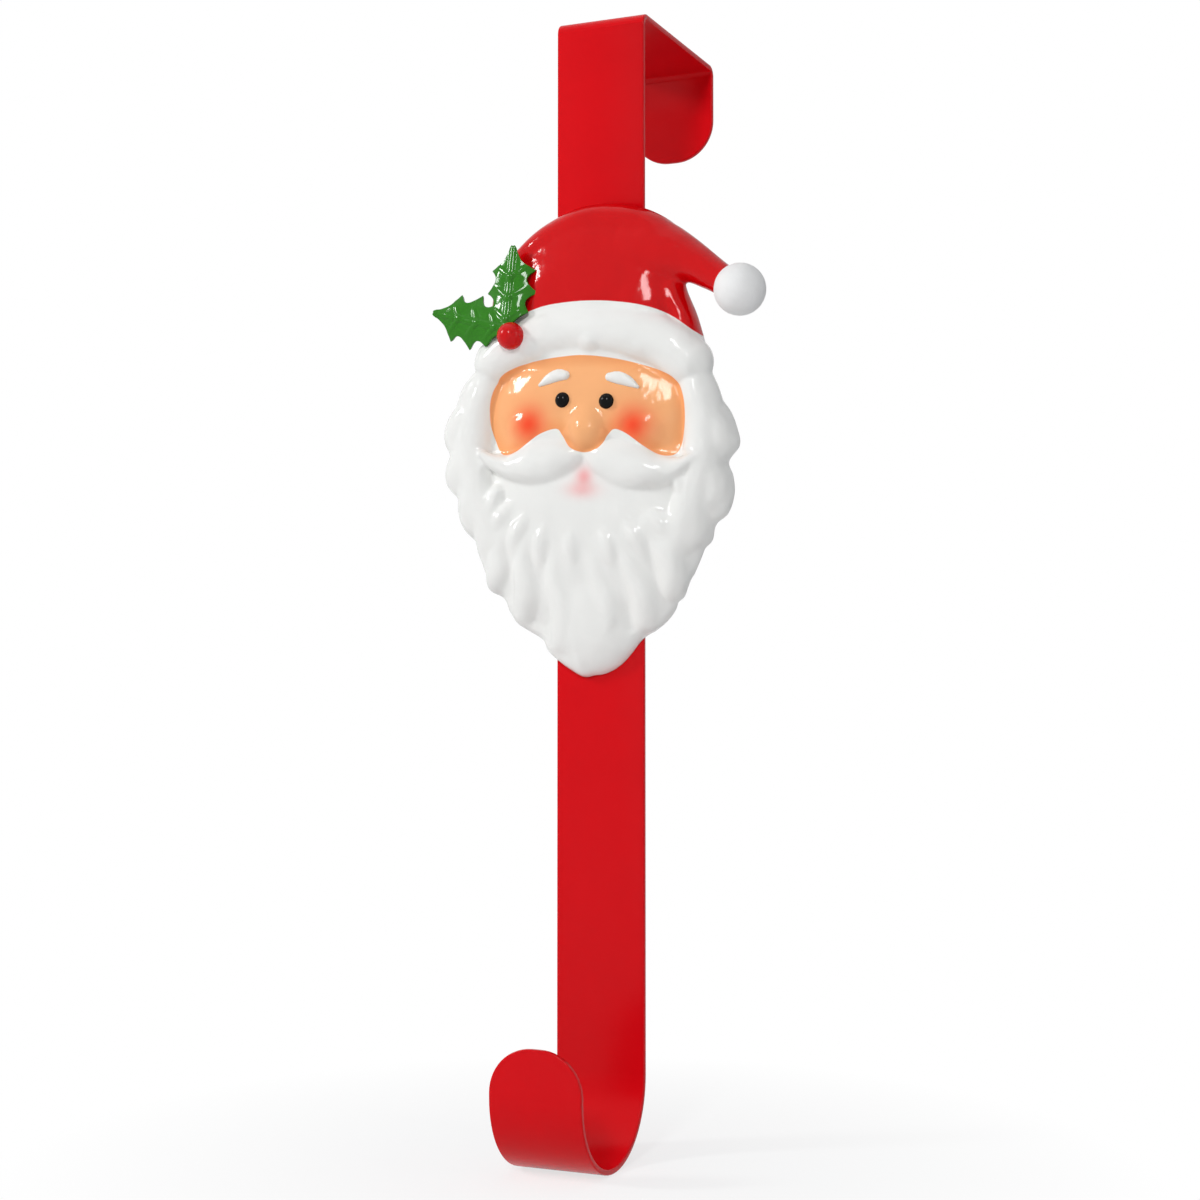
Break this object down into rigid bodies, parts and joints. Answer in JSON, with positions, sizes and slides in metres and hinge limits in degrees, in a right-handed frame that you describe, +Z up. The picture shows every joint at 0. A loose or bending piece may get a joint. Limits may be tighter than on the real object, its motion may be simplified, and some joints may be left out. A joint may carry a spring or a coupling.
{
  "type": "wreath hanger",
  "caption": "Flat metal strap bent over a door top, with a J at its foot to carry a wreath and a cast bearded winter figure with hat, holly and pom-pom on its front.",
  "frame": {"origin": "centre of the underside of the bridge that rests on the top of the door", "axes": "+Z up, -Y out of the door towards the viewer, +X to the viewer's right"},
  "size_m": [0.0963, 0.096, 0.305],
  "materials": {
    "strap_red": "semi-gloss red powder coat on steel strip",
    "beard_white": "glossy white enamel on the casting",
    "hat_red": "high-gloss red enamel on the casting",
    "face_peach": "glossy peach enamel with airbrushed cheeks",
    "eye_black": "glossy black enamel",
    "pom_white": "matte white ball",
    "leaf_green": "glossy green enamel with raised veins",
    "berry_red": "glossy red enamel"
  },
  "bodies": {
    "root": {"hanger_strap": "strap_red", "bearded_head": "beard_white", "pom_pom": "pom_white", "holly_leaves": "leaf_green", "holly_berry": "berry_red"}
  },
  "joints": []
}
